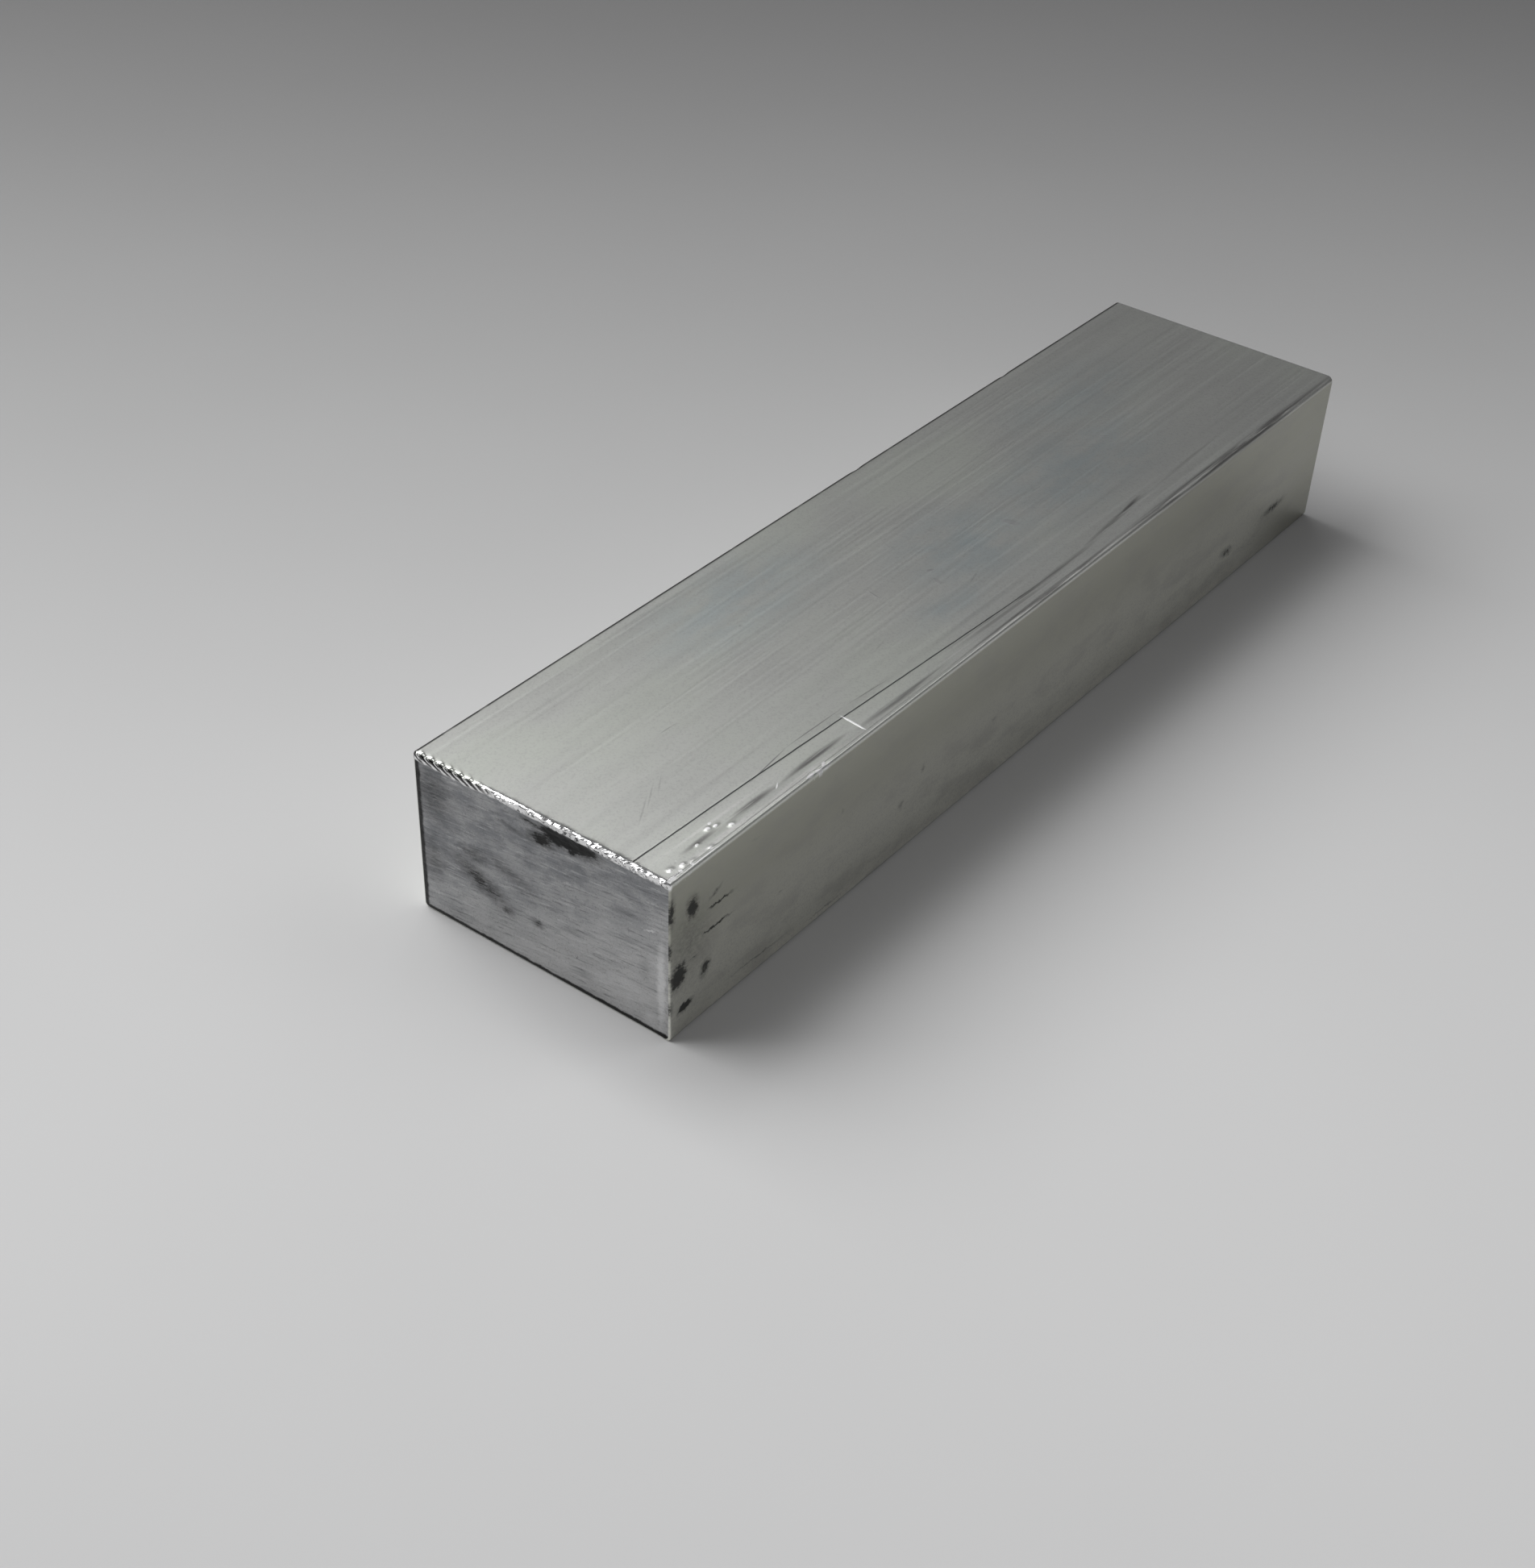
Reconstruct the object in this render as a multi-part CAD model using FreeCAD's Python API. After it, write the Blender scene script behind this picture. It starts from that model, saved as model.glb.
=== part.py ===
"""Solid aluminium flat bar, a short offcut: one extruded piece, sawn off at both ends.

Row frame: +X runs along the bar from its first sawn end to its second, +Y across its
width and +Z up through its thickness. The origin is the centre of the wide face that the
bar lies on. Sizes are in millimetres and angles in degrees.
"""

import FreeCAD, Part
import math
import os

from FreeCAD import Vector

# --- driving dimensions -------------------------------------------------------------
bar_width = 25.4  # 1 in stock, along Y
bar_thickness = 15.875  # 5/8 in stock, along Z
bar_length = 105.2  # overall, between the outermost corners of the two saw cuts

corner_radius = 0.4  # rounding that the die leaves on three of the long edges
rubbed_radius = 0.5  # the fourth long edge, on top at -Y, is rubbed rounder
cut_edge_chamfer = 0.15  # file stroke along the edges of both saw cuts

# How far each saw cut is out of square: yaw turns it about Z, lean tips it about Y.
first_cut_yaw = -0.8
first_cut_lean = -1.3
second_cut_yaw = -0.2
second_cut_lean = 0.8

saw_margin = 5.0  # stock beyond each cut, which the saw takes off


def rounded_corner(x, y, z, inward_y, inward_z, radius):
    """Three points of a corner's arc: its end on the side, its middle, its end on the flat."""
    inset = radius * (1 - math.sqrt(0.5))
    on_side = Vector(x, y, z + inward_z * radius)
    middle = Vector(x, y + inward_y * inset, z + inward_z * inset)
    on_flat = Vector(x, y + inward_y * radius, z)
    return on_side, middle, on_flat


def section_wire(x):
    """The bar's cross-section in the plane at x, a rectangle with four rounded corners."""
    half, top = bar_width / 2, bar_thickness
    arcs = [
        rounded_corner(x, -half, 0.0, 1, 1, corner_radius),
        rounded_corner(x, half, 0.0, -1, 1, corner_radius)[::-1],
        rounded_corner(x, half, top, -1, -1, corner_radius),
        rounded_corner(x, -half, top, 1, -1, rubbed_radius)[::-1],
    ]
    edges = []
    for arc, next_arc in zip(arcs, arcs[1:] + arcs[:1]):
        edges.append(Part.Arc(*arc).toShape())
        edges.append(Part.LineSegment(arc[-1], next_arc[0]).toShape())
    return Part.Wire(edges)


def cut_reach(yaw, lean):
    """How far along X a tilted cut reaches from its middle to its outermost corner."""
    by_yaw = abs(math.tan(math.radians(yaw))) * bar_width / 2
    by_lean = abs(math.tan(math.radians(lean))) * bar_thickness / 2
    return by_yaw + by_lean


def sawn_off(x_middle, yaw, lean, x_beyond):
    """What a saw cut through x_middle takes off: all the stock from there to x_beyond."""
    slope_y = math.tan(math.radians(yaw))
    slope_z = math.tan(math.radians(lean))
    half = bar_width / 2 + saw_margin
    low, high = -saw_margin, bar_thickness + saw_margin
    corners = [(-half, low), (half, low), (half, high), (-half, high), (-half, low)]

    def on_cut(y, z):
        return x_middle + slope_y * y + slope_z * (z - bar_thickness / 2)

    cut_face = Part.makePolygon([Vector(on_cut(y, z), y, z) for y, z in corners])
    waste_end = Part.makePolygon([Vector(x_beyond, y, z) for y, z in corners])
    return Part.makeLoft([cut_face, waste_end], True, True)


def edges_at_cut(solid, x_middle, yaw, lean):
    """The solid's edges that lie in one saw cut's plane."""
    slope_y = math.tan(math.radians(yaw))
    slope_z = math.tan(math.radians(lean))
    in_plane = 1e-4

    def lies_in_cut(vertex):
        p = vertex.Point
        return abs(p.x - x_middle - slope_y * p.y - slope_z * (p.z - bar_thickness / 2)) < in_plane

    return [e for e in solid.Edges if all(lies_in_cut(v) for v in e.Vertexes)]


def flat_bar():
    """The extruded stock, sawn off at both ends, with its sawn edges broken by a file."""
    first_x = -bar_length / 2 + cut_reach(first_cut_yaw, first_cut_lean)
    second_x = bar_length / 2 - cut_reach(second_cut_yaw, second_cut_lean)
    stock_end = bar_length / 2 + saw_margin
    waste_end = stock_end + saw_margin

    bar = Part.Face(section_wire(-stock_end)).extrude(Vector(2 * stock_end, 0, 0))
    bar = bar.cut(sawn_off(first_x, first_cut_yaw, first_cut_lean, -waste_end))
    bar = bar.cut(sawn_off(second_x, second_cut_yaw, second_cut_lean, waste_end))
    bar = bar.Solids[0]
    sawn_edges = edges_at_cut(bar, first_x, first_cut_yaw, first_cut_lean)
    sawn_edges += edges_at_cut(bar, second_x, second_cut_yaw, second_cut_lean)
    return bar.makeChamfer(cut_edge_chamfer, sawn_edges)


def write_part(name, shape):
    """Checks that the shape is one closed solid and writes it as parts/NAME.step."""
    if not shape.isValid() or len(shape.Solids) != 1:
        raise ValueError(name + " is not one valid solid")
    solid = shape.Solids[0]
    solid.exportStep(os.path.join("parts", name + ".step"))
    box = solid.BoundBox
    size = f"{box.XLength:.3f} x {box.YLength:.3f} x {box.ZLength:.3f} mm"
    print(f"{name}: {size}, {solid.Volume / 1000:.3f} cm3, x from {box.XMin:.4f} to {box.XMax:.4f}")


os.makedirs("parts", exist_ok=True)
write_part("flat_bar", flat_bar())
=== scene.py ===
import math

import bpy
import numpy as np
from mathutils import Matrix, Vector


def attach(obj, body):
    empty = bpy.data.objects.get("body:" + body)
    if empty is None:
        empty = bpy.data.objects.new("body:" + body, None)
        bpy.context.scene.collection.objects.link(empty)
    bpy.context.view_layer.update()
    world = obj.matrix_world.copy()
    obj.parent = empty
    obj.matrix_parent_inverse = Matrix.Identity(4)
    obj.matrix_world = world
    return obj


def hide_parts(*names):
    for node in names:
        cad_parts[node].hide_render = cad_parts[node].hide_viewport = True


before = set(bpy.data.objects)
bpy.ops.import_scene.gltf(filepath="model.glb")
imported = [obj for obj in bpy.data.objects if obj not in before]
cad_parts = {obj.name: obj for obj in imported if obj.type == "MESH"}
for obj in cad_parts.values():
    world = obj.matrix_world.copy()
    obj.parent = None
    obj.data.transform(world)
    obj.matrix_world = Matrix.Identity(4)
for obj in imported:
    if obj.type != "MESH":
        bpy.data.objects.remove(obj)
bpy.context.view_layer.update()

# A short length of sawn-off aluminium flat bar, on a pale floor.
# Lengths below are in millimetres unless a name says otherwise, and meshes are scaled to
# metres as they are made. +X runs along the bar from its first (near) sawn end, +Y across
# it, +Z up. On the faces, "along" is the distance from the near end, and "across" the
# distance from the clean +Y edge; "down" is the distance below the top.

MM = 0.001

# --- the bar's sizes, as in the CAD model ----------------------------------------------
WIDTH = 25.4
THICKNESS = 15.875
LENGTH = 105.2
HALF = WIDTH / 2
DIE_RADIUS = 0.4
RUBBED_RADIUS = 0.5
FIRST_YAW, FIRST_LEAN = -0.8, -1.3
SECOND_YAW, SECOND_LEAN = -0.2, 0.8
CUT_ROUNDING = 0.15


def slope(degrees):
    return math.tan(math.radians(degrees))


def reach(yaw, lean):
    return abs(slope(yaw)) * HALF + abs(slope(lean)) * THICKNESS / 2


FIRST_X = -LENGTH / 2 + reach(FIRST_YAW, FIRST_LEAN)
SECOND_X = LENGTH / 2 - reach(SECOND_YAW, SECOND_LEAN)


def first_cut(y, z):
    return FIRST_X + slope(FIRST_YAW) * y + slope(FIRST_LEAN) * (z - THICKNESS / 2)


def second_cut(y, z):
    return SECOND_X + slope(SECOND_YAW) * y + slope(SECOND_LEAN) * (z - THICKNESS / 2)


# --- smooth repeatable noise ------------------------------------------------------------
def lattice(ix, iy, seed):
    """A repeatable number in -1..1 for each lattice point."""
    h = (ix.astype(np.int64) * 374761393 + iy.astype(np.int64) * 668265263 + seed * 982451653)
    h = (h ^ (h >> 13)) * 1274126177
    h = (h ^ (h >> 16)) & 0xFFFFFF
    return h / float(0x7FFFFF) - 1.0


def ripple(x, y, seed, octaves=3):
    """Smooth noise of x and y, about -1..1, with a feature size of 1."""
    x, y = np.broadcast_arrays(np.asarray(x, float), np.asarray(y, float))
    total, weight, share = 0.0, 0.0, 1.0
    for octave in range(octaves):
        fx, fy = x * 2**octave, y * 2**octave
        ix, iy = np.floor(fx), np.floor(fy)
        tx, ty = fx - ix, fy - iy
        tx, ty = tx * tx * (3 - 2 * tx), ty * ty * (3 - 2 * ty)
        a, b = lattice(ix, iy, seed + octave), lattice(ix + 1, iy, seed + octave)
        c, d = lattice(ix, iy + 1, seed + octave), lattice(ix + 1, iy + 1, seed + octave)
        total = total + share * ((a + (b - a) * tx) * (1 - ty) + (c + (d - c) * tx) * ty)
        weight += share
        share *= 0.5
    return total / weight


def smooth(low, high, value):
    t = np.clip((np.asarray(value, float) - low) / (high - low), 0.0, 1.0)
    return t * t * (3 - 2 * t)


# --- the scribed line and the rubbed band beside it, on top -----------------------------
SCRIBE_PATH = (
    (0.0, 21.7), (14.4, 22.15), (26.6, 22.7), (40.9, 23.35), (48.0, 23.65), (60.0, 23.95),
)
SCRIBE_END = 60.0
SCRIBE_HALF_WIDTH = 0.06
SCRIBE_DEPTH = 0.025
SCRIBE_FADE_START = 46.0
BAND_FALL = 2.2
BAND_DEPTH = 0.035
BAND_FADE = (50, 75)

# Shallow furrows along the top: start, end (along, across), half width and depth.
FURROWS = (
    ((5.0, 23.95), (26.0, 24.0), 0.32, 0.035),
    ((22.0, 24.6), (40.0, 24.85), 0.30, 0.035),
    ((2.0, 25.0), (16.0, 25.0), 0.20, -0.015),
    ((36.0, 24.0), (60.0, 24.45), 0.30, 0.030),
    ((50.0, 23.9), (62.0, 23.7), 0.35, 0.030),
    ((58.5, 23.45), (72.0, 22.95), 0.30, 0.045),
    ((68.0, 23.05), (88.0, 22.5), 0.28, 0.020),
    ((58.0, 24.9), (84.0, 24.6), 0.25, -0.015),
)


def scribe_across(along):
    points = np.array(SCRIBE_PATH)
    return np.interp(along, points[:, 0], points[:, 1])


def top_relief(along, across):
    """Height of the top face above its plane."""
    height = np.zeros(np.broadcast(along, across).shape)
    for (a0, c0), (a1, c1), half, depth in FURROWS:
        t = (along - a0) / (a1 - a0)
        centre = c0 + (c1 - c0) * np.clip(t, 0, 1)
        fade = smooth(-0.12, 0.08, t) * (1 - smooth(0.75, 1.1, t))
        height -= depth * fade * np.exp(-(((across - centre) / half) ** 2))
    band = smooth(0.0, BAND_FALL, across - scribe_across(np.minimum(along, 58.0)))
    height -= band * BAND_DEPTH * (1 - smooth(*BAND_FADE, along))
    height += 0.0015 * ripple(along * 0.07, across * 0.9, 11) * smooth(0, 3, along)
    return height


# --- the profile and its mesh levels -----------------------------------------------------
def levels(start, *spans):
    """Positions from start through each (end, spacing) span in turn."""
    found = [start]
    for end, spacing in spans:
        count = max(1, round((end - found[-1]) / spacing))
        found += list(np.linspace(found[-1], end, count + 1)[1:])
    return np.array(found)


SCRIBE_LEVEL = HALF - SCRIBE_PATH[0][1]
BAND_INNER = -6.5
BAND_OUTER = -HALF + 0.8

Y_LEVELS = levels(
    -HALF,
    (-HALF + 1.0, 0.1),
    (SCRIBE_LEVEL - SCRIBE_HALF_WIDTH, 0.1),
    (SCRIBE_LEVEL, 0.1),
    (SCRIBE_LEVEL + SCRIBE_HALF_WIDTH, 0.1),
    (BAND_INNER, 0.12),
    (HALF - 0.8, 0.14),
    (HALF, 0.1),
)
Z_LEVELS = levels(0.0, (0.8, 0.1), (THICKNESS - 1.6, 0.19), (THICKNESS, 0.1))
NY, NZ = len(Y_LEVELS) - 1, len(Z_LEVELS) - 1
SCRIBE_INDEX = int(np.argmin(np.abs(Y_LEVELS - SCRIBE_LEVEL)))


def rounded(y, z, shrink=0.0):
    """Moves points of the sharp rectangle near its corners so that the corners are rounded."""
    y, z = np.array(y, float), np.array(z, float)
    half = HALF - shrink
    low, high = shrink, THICKNESS - shrink
    y = y * half / HALF
    z = low + z * (high - low) / THICKNESS
    for side in (-1, 1):
        for top in (0, 1):
            radius = RUBBED_RADIUS if (side < 0 and top) else DIE_RADIUS
            cy = side * (half - radius)
            cz = high - radius if top else low + radius
            dy = (y - cy) * side / radius
            dz = (z - cz) * (1 if top else -1) / radius
            inside = (dy > 0) & (dz > 0)
            far, near = np.maximum(dy, dz), np.minimum(dy, dz)
            turn = np.where(inside, math.pi / 4 * near / np.maximum(far, 1e-9), 0)
            along_y = np.where(dy >= dz, np.cos(turn), np.sin(turn)) * far
            along_z = np.where(dy >= dz, np.sin(turn), np.cos(turn)) * far
            y = np.where(inside, cy + side * radius * along_y, y)
            z = np.where(inside, cz + (1 if top else -1) * radius * along_z, z)
    return y, z


def warped(y, along):
    """Top-face level y moved so that the scribed line's levels follow the line."""
    line = HALF - scribe_across(min(along, SCRIBE_END))
    knots = [BAND_OUTER, SCRIBE_LEVEL - SCRIBE_HALF_WIDTH, SCRIBE_LEVEL]
    knots += [SCRIBE_LEVEL + SCRIBE_HALF_WIDTH, BAND_INNER]
    places = [BAND_OUTER, line - SCRIBE_HALF_WIDTH, line, line + SCRIBE_HALF_WIDTH, BAND_INNER]
    moved = np.interp(y, knots, places)
    return np.where((y > BAND_OUTER) & (y < BAND_INNER), moved, y)


# The border loop: bottom from -Y to +Y, the +Y side up, the top back, the -Y side down.
BOTTOM, CLEAN_SIDE, TOP, RUBBED_SIDE = range(4)
LOOP_Y = np.concatenate([Y_LEVELS[:-1], np.full(NZ, HALF), Y_LEVELS[:0:-1], np.full(NZ, -HALF)])
LOOP_Z = np.concatenate([np.zeros(NY), Z_LEVELS[:-1], np.full(NY, THICKNESS), Z_LEVELS[:0:-1]])
LOOP_FACE = np.repeat([BOTTOM, CLEAN_SIDE, TOP, RUBBED_SIDE], [NY, NZ, NY, NZ])
LOOP_COUNT = len(LOOP_Y)
TOP_FIRST = NY + NZ
SCRIBE_LOOP_INDEX = TOP_FIRST + NY - SCRIBE_INDEX

# The bar's long middle keeps every level near the corners and in the band, and few elsewhere.
CORNER_ZONE = 1.05
COARSE_SPACING = 1.3


def kept_in_the_middle():
    """Which loop points the long middle of the bar keeps."""
    keep = np.zeros(LOOP_COUNT, bool)
    last = None
    for i in range(LOOP_COUNT):
        y, z, face = LOOP_Y[i], LOOP_Z[i], LOOP_FACE[i]
        from_y, from_z = HALF - abs(y), min(z, THICKNESS - z)
        near_corner = from_y < CORNER_ZONE and from_z < CORNER_ZONE
        in_band = face == TOP and y < BAND_INNER - 1.0
        spacing = 0.0 if near_corner or in_band else COARSE_SPACING
        here = y if face in (BOTTOM, TOP) else z
        if last is None or face != last[0] or abs(here - last[1]) >= spacing - 1e-6:
            keep[i] = True
            last = (face, here)
    return keep


# --- the burr along the near end's top edge ----------------------------------------------
BURR_PITCH = 0.98
BURR_SLANT = 1.4
TEETH_UNTIL = 8.0
BURR_REACH = 0.8
# The burr's shares up and outward, on the top face and on the sawn face.
TOP_BURR_UP, TOP_BURR_OUT = 0.8, 0.5
CUT_BURR_UP, CUT_BURR_OUT = 0.6, 0.85


def burr_height(s, w):
    """Height of the rolled burr at s from the +Y corner and w over the edge (down is < 0)."""
    ridge = np.exp(-(((w + 0.24) / 0.34) ** 2))
    phase = (s + BURR_SLANT * w) / BURR_PITCH
    phase = phase - np.floor(phase)
    tooth = smooth(0.0, 0.12, phase) * (1 - smooth(0.35, 0.60, phase))
    teeth = ridge * (0.28 * tooth - 0.05) * (1 - 0.55 * smooth(4.0, 7.5, s))
    rough = ripple(s * 2.4, w * 2.8, 21, 4)
    crumbs = np.maximum(0.0, 0.36 * rough + 0.12 + 0.08 * ripple(s * 0.35, 0.0, 31))
    growth = 0.55 + 0.60 * smooth(10.5, 14.0, s)
    crumbly = ridge * growth * (crumbs + 0.04)
    share = smooth(TEETH_UNTIL - 1.5, TEETH_UNTIL + 1.0, s)
    height = teeth * (1 - share) + crumbly * share
    return height * smooth(0.15, 0.7, s) * (1 - smooth(WIDTH - 0.5, WIDTH - 0.05, s))


# --- dents: place on the surface, the way it's pushed, radius and depth -----------------
TOP_Z = THICKNESS
NEAR_TOP_X = FIRST_X - 0.18
UPWARD = (-0.2, 0, 1)
LARGE_GLINT, SMALL_GLINT = (0.17, 0.10), (0.13, 0.08)
DENTS = (
    ((NEAR_TOP_X + 17.6, -HALF, TOP_Z - 0.25), (0, 0.7, -0.7), 0.35, 0.08),
    ((NEAR_TOP_X + 18.6, -HALF, TOP_Z - 0.25), (0, 0.7, -0.7), 0.25, -0.06),
    ((NEAR_TOP_X + 19.4, -HALF, TOP_Z - 0.2), (0, 0.7, -0.7), 0.25, 0.10),
    ((NEAR_TOP_X + 7.0, HALF - 23.4, TOP_Z), UPWARD, *LARGE_GLINT),
    ((NEAR_TOP_X + 7.8, HALF - 23.6, TOP_Z), UPWARD, *SMALL_GLINT),
    ((NEAR_TOP_X + 8.6, HALF - 24.4, TOP_Z), UPWARD, *LARGE_GLINT),
    ((NEAR_TOP_X + 5.0, HALF - 24.0, TOP_Z), UPWARD, *SMALL_GLINT),
    ((NEAR_TOP_X + 5.5, HALF - 24.9, TOP_Z), UPWARD, *SMALL_GLINT),
    ((NEAR_TOP_X + 1.5, HALF - 24.3, TOP_Z), UPWARD, *LARGE_GLINT),
    ((NEAR_TOP_X + 2.5, HALF - 24.7, TOP_Z), UPWARD, *LARGE_GLINT),
    ((NEAR_TOP_X + 3.4, HALF - 24.9, TOP_Z), UPWARD, *SMALL_GLINT),
    ((NEAR_TOP_X + 17.6, HALF - 25.1, TOP_Z), UPWARD, *LARGE_GLINT),
    ((NEAR_TOP_X + 18.6, HALF - 25.1, TOP_Z), UPWARD, *LARGE_GLINT),
    ((NEAR_TOP_X + 30.1, HALF - 8.4, TOP_Z), (0, 0, -1), 0.16, 0.08),
    ((NEAR_TOP_X + 2.3, -HALF, TOP_Z - 13.4), (0, 1, 0), 0.50, 0.12),
    ((NEAR_TOP_X + 1.0, -HALF, 0.0), (-0.5, -0.4, -0.1), 0.9, 0.16),
    ((NEAR_TOP_X + 58.0, HALF, TOP_Z), (0, -0.7, -0.7), 0.6, 0.08),
    ((NEAR_TOP_X + 83.0, HALF, TOP_Z), (0, -0.7, -0.7), 0.5, 0.10),
    ((NEAR_TOP_X + 34.0, HALF, 0.2), (0, -0.7, 0.7), 0.6, 0.10),
    ((-NEAR_TOP_X - 0.1, -HALF, TOP_Z), (-0.6, 0.5, -0.6), 0.4, 0.06),
    ((-NEAR_TOP_X - 0.3, HALF, 3.0), (-0.7, -0.7, 0), 0.5, 0.12),
)


def dented(points):
    for place, push, radius, depth in DENTS:
        place, push = np.array(place), np.array(push)
        near = np.linalg.norm(points - place, axis=1)
        points = points + push * (depth * np.exp(-((near / radius) ** 2)))[:, None]
    return points


# --- the sawn faces' relief ----------------------------------------------------------------
def near_saw_relief(s, down):
    """How far the near face stands out, s from the +Y edge, down from the top."""
    tilt = s * 0.12 + down
    out = 0.008 * np.sin(2 * math.pi * (tilt + 0.35 * ripple(s * 0.12, down * 0.2, 41)) / 1.05)
    out = out + 0.016 * ripple(s * 0.10, tilt * 1.4, 42, 4)
    out = out + 0.05 * ripple(s * 0.05, down * 0.07, 43, 2)
    smeared = np.exp(-(((s - 15.6) / 3.6) ** 2)) * np.exp(-(((down - 1.3) / 0.8) ** 2))
    out = out - smeared * (0.10 + 0.10 * ripple(s * 1.1, down * 2.0, 44, 4))
    bevel = smooth(WIDTH - 1.35, WIDTH - 0.2, s) * smooth(4.0, 7.0, down)
    return out - 0.06 * bevel


def far_saw_relief(s, down):
    """How far the far face stands out."""
    tilt = s * 0.05 - down
    out = 0.010 * np.sin(2 * math.pi * (tilt + 0.4 * ripple(s * 0.1, down * 0.2, 51)) / 0.95)
    out = out + 0.018 * ripple(s * 0.10, tilt * 1.4, 52, 4)
    return out + 0.05 * ripple(s * 0.05, down * 0.07, 53, 2)


# --- the bar's mesh ---------------------------------------------------------------------
# Material numbers of the faces.
LONG_FACES, SAWN_FACES = 0, 1

# Distances from the sawn ends at which the finest loops of points lie.
NEAR_STATIONS = (0.04, 0.09, 0.15, 0.24, 0.34, 0.45, 0.57, 0.7, 0.85, 1.05, 1.3)
FAR_STATIONS = (0.15, 0.09, 0.04)
FAR_FINE_START = 0.3


class BarMesh:
    """Gathers the bar's vertices and faces."""

    def __init__(self):
        self.points = []
        self.count = 0
        self.faces = []
        self.slots = []
        self.flat = []

    def add_points(self, points):
        first = self.count
        points[:, 2] = np.maximum(points[:, 2], 0.0)
        self.points.append(points)
        self.count += len(points)
        return first

    def add_face(self, corners, slot, flat=False):
        self.faces.append(corners)
        self.slots.append(slot)
        self.flat.append(flat)

    def strip(self, loop_a, loop_b, flat):
        """Quads between two closed loops with as many points as each other."""
        for i in range(len(loop_a)):
            j = (i + 1) % len(loop_a)
            self.add_face((loop_a[i], loop_a[j], loop_b[j], loop_b[i]), LONG_FACES, flat[i])

    def zipper(self, fine, coarse, keep, turned):
        """Triangles between a fine loop and a coarse loop made of its kept points."""
        kept = np.flatnonzero(keep)
        for c, start in enumerate(kept):
            end = kept[(c + 1) % len(kept)]
            end = end if end > start else end + len(fine)
            a, b = coarse[c], coarse[(c + 1) % len(kept)]
            middle = (start + end) // 2
            for k in range(start, end):
                apex = a if k < middle else b
                corners = (fine[k % len(fine)], fine[(k + 1) % len(fine)], apex)
                self.add_face(corners[::-1] if turned else corners, LONG_FACES)
            corners = (a, fine[middle % len(fine)], b)
            self.add_face(corners[::-1] if turned else corners, LONG_FACES)



def body_points(share, along, indices):
    """The loop's points at a share of the way, and a distance along, from the near end."""
    y, z, face = LOOP_Y[indices], LOOP_Z[indices], LOOP_FACE[indices]
    on_top = face == TOP
    y = np.where(on_top, warped(y, along), y)
    y, z = rounded(y, z)
    near, far = first_cut(y, z), second_cut(y, z)
    x = near + (far - near) * share
    from_near, from_far = x - near, far - x
    across = HALF - y
    relief = top_relief(along, across)
    lies_up = on_top & (z > THICKNESS - 0.35)
    z = np.where(lies_up, z + relief, z)
    groove = (indices == SCRIBE_LOOP_INDEX) & on_top
    fade = 1 - smooth(SCRIBE_FADE_START, SCRIBE_END, along)
    z = np.where(groove, z - SCRIBE_DEPTH * fade, z)
    for distance in (from_near, from_far):
        inset = CUT_ROUNDING * (1 - np.sqrt(1 - np.clip(1 - distance / CUT_ROUNDING, 0, 1) ** 2))
        y = y * (1 - inset / HALF)
        z = z + inset * (1 - 2 * z / THICKNESS)
    points = np.stack([x, y, z], 1)
    height = burr_height(HALF - y, from_near) * (z > THICKNESS - 0.5)
    points[:, 2] += height * TOP_BURR_UP
    points[:, 0] -= height * TOP_BURR_OUT
    return dented(points)


def cap_points(near_end):
    """The grid of points on a sawn face, NY + 1 by NZ + 1."""
    y, z = np.meshgrid(Y_LEVELS, Z_LEVELS, indexing="ij")
    y, z = rounded(y.ravel(), z.ravel(), CUT_ROUNDING)
    s, down = HALF - y, THICKNESS - z
    edge = np.minimum(np.minimum(HALF - np.abs(y), z), THICKNESS - z) - CUT_ROUNDING
    inner = smooth(0.0, 0.35, edge)
    if near_end:
        x = first_cut(y, z) - near_saw_relief(s, down) * inner
        height = burr_height(s, -down)
        x = x - height * CUT_BURR_OUT
        z = z + height * CUT_BURR_UP * smooth(-0.6, -0.1, -down)
    else:
        x = second_cut(y, z) + far_saw_relief(s, down) * inner
    return dented(np.stack([x, y, z], 1))


def grid_border(first):
    """The border of a cap's grid, in the loop's order."""
    def at(i, j):
        return first + i * (NZ + 1) + j
    bottom = [at(i, 0) for i in range(NY)]
    clean = [at(NY, j) for j in range(NZ)]
    top = [at(i, NZ) for i in range(NY, 0, -1)]
    rubbed = [at(0, j) for j in range(NZ, 0, -1)]
    return bottom + clean + top + rubbed


def add_cap(mesh, near_end):
    first = mesh.add_points(cap_points(near_end))
    for i in range(NY):
        for j in range(NZ):
            a = first + i * (NZ + 1) + j
            corners = (a, a + 1, a + NZ + 2, a + NZ + 1)
            burred = near_end and Z_LEVELS[j] > THICKNESS - 1.0
            mesh.add_face(corners if near_end else corners[::-1], SAWN_FACES, burred)
    return grid_border(first)


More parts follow.
